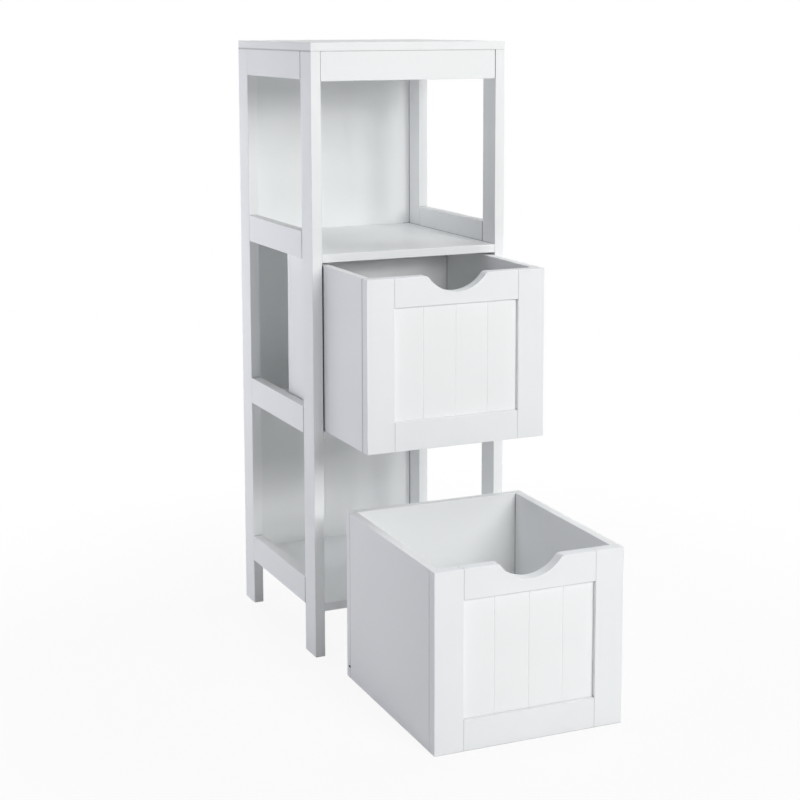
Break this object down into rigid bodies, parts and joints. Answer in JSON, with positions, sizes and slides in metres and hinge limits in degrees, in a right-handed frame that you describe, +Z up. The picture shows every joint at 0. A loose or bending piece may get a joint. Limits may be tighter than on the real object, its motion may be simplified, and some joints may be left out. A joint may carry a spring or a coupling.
{
  "type": "bathroom storage tower",
  "caption": "Slim free-standing white storage tower: open frame with shelves, an open top bay and box drawers with framed fronts and finger scoops, one half open and one set on the floor.",
  "frame": {"origin": "on the floor, at the middle of the box round the whole group: the tower, its half-open upper drawer and the lower drawer standing in front of it", "axes": "+Z up, +X to the right seen from the front, -Y to the front (the way the drawers pull out)"},
  "size_m": [0.305, 0.6938, 0.89],
  "materials": {
    "tower_paint": "white satin paint on board",
    "drawer_front_paint": "white satin paint on board",
    "drawer_box_paint": "white satin paint on board",
    "painted_hardboard": "white matt paint on thin hardboard",
    "dowel_beech": "bare fluted beech",
    "plated_steel": "zinc plated"
  },
  "bodies": {
    "tower": {"top_board": "tower_paint", "front_left_leg": "tower_paint", "front_right_leg": "tower_paint", "rear_left_leg": "tower_paint", "rear_right_leg": "tower_paint", "left_top_rail": "tower_paint", "left_upper_rail": "tower_paint", "left_lower_rail": "tower_paint", "left_bottom_rail": "tower_paint", "right_top_rail": "tower_paint", "right_upper_rail": "tower_paint", "right_lower_rail": "tower_paint", "right_bottom_rail": "tower_paint", "front_apron": "tower_paint", "back_panel": "painted_hardboard", "upper_shelf": "tower_paint", "middle_shelf": "tower_paint", "bottom_shelf": "tower_paint", "rail_dowels": "dowel_beech", "cam_bolts": "plated_steel", "cam_discs": "plated_steel", "back_panel_screws": "plated_steel"},
    "upper_drawer": {"upper_drawer_left_stile": "drawer_front_paint", "upper_drawer_right_stile": "drawer_front_paint", "upper_drawer_top_rail": "drawer_front_paint", "upper_drawer_bottom_rail": "drawer_front_paint", "upper_drawer_front_panel": "drawer_front_paint", "upper_drawer_left_side": "drawer_box_paint", "upper_drawer_right_side": "drawer_box_paint", "upper_drawer_back": "drawer_box_paint", "upper_drawer_bottom": "painted_hardboard", "upper_drawer_dowels": "dowel_beech", "upper_drawer_screws": "plated_steel"},
    "lower_drawer": {"lower_drawer_left_stile": "drawer_front_paint", "lower_drawer_right_stile": "drawer_front_paint", "lower_drawer_top_rail": "drawer_front_paint", "lower_drawer_bottom_rail": "drawer_front_paint", "lower_drawer_front_panel": "drawer_front_paint", "lower_drawer_left_side": "drawer_box_paint", "lower_drawer_right_side": "drawer_box_paint", "lower_drawer_back": "drawer_box_paint", "lower_drawer_bottom": "painted_hardboard", "lower_drawer_dowels": "dowel_beech", "lower_drawer_screws": "plated_steel"}
  },
  "joints": [
    {"name": "upper_drawer_slide", "type": "slide", "parent": "tower", "child": "upper_drawer", "axis": [0, -1, 0], "range_m": [-0.155, 0.095]},
    {"name": "lower_drawer_lift", "type": "slide", "parent": "tower", "child": "lower_drawer", "axis": [0, 0, 1], "range_m": [0, 0.0803]}
  ]
}
